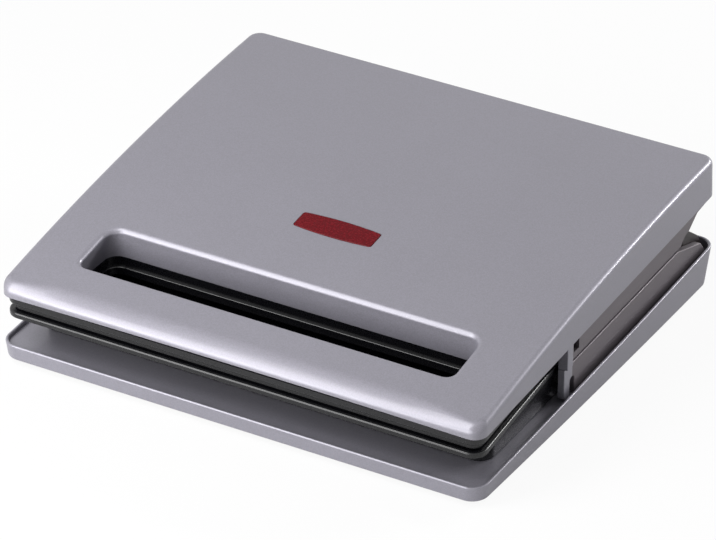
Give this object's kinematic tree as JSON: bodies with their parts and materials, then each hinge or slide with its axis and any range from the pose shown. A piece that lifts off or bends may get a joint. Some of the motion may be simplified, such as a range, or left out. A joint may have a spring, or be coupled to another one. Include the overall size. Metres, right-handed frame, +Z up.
{
  "type": "sandwich maker",
  "caption": "Sandwich maker: a wedge-shaped silver lid with a grip slot and a red lens, hinged at the rear on a shallow tray, with black plate frames between them.",
  "frame": {"origin": "on the surface that the feet stand on, below the middle of the tray", "axes": "+X to the user's right, +Y to the rear where the hinge is, +Z up"},
  "size_m": [0.2614, 0.2365, 0.072],
  "materials": {
    "silver_paint": "satin metallic paint on moulded plastic",
    "cover_plastic": "fine texture",
    "frame_plastic": "semi-gloss",
    "housing_plastic": "satin",
    "non_stick_coating": "black non-stick coating on cast aluminium",
    "element_sheath": "oxidised tube",
    "pan_steel": "bare sheet",
    "zinc_plated_steel": "zinc plated",
    "thermostat_case": "plated",
    "fuse_case": "plated",
    "rubber": "matt",
    "red_lens": "clear red moulding",
    "lamp_glass": "clear",
    "pale_plastic": "natural"
  },
  "bodies": {
    "base": {"base_casing": "silver_paint", "base_cover": "cover_plastic", "foot_1": "rubber", "foot_2": "rubber", "foot_3": "rubber", "foot_4": "rubber", "cover_screw_1": "zinc_plated_steel", "cover_screw_2": "zinc_plated_steel", "cover_screw_3": "zinc_plated_steel", "cover_screw_4": "zinc_plated_steel", "lower_frame": "frame_plastic", "lower_plate": "non_stick_coating", "lower_element": "element_sheath", "lower_reflector": "pan_steel", "thermostat": "thermostat_case", "thermal_fuse": "fuse_case", "terminal_block": "pale_plastic", "cord_gland": "rubber", "left_cheek": "silver_paint", "right_cheek": "silver_paint", "left_hinge_housing": "housing_plastic", "right_hinge_housing": "housing_plastic", "left_hinge_pin": "zinc_plated_steel", "right_hinge_pin": "zinc_plated_steel"},
    "lid": {"lid_casing": "silver_paint", "upper_frame": "frame_plastic", "upper_plate": "non_stick_coating", "upper_element": "element_sheath", "upper_reflector": "pan_steel", "indicator_lens": "red_lens", "lamp_holder": "pale_plastic", "power_lamp": "lamp_glass", "ready_lamp": "lamp_glass", "lid_screw_1": "zinc_plated_steel", "lid_screw_2": "zinc_plated_steel", "lid_screw_3": "zinc_plated_steel", "lid_screw_4": "zinc_plated_steel"}
  },
  "joints": [
    {"name": "lid_hinge", "type": "hinge", "parent": "base", "child": "lid", "pos_m": [0, 0.1005, 0.028], "axis": [-1, 0, 0], "range_deg": [0, 90]}
  ]
}
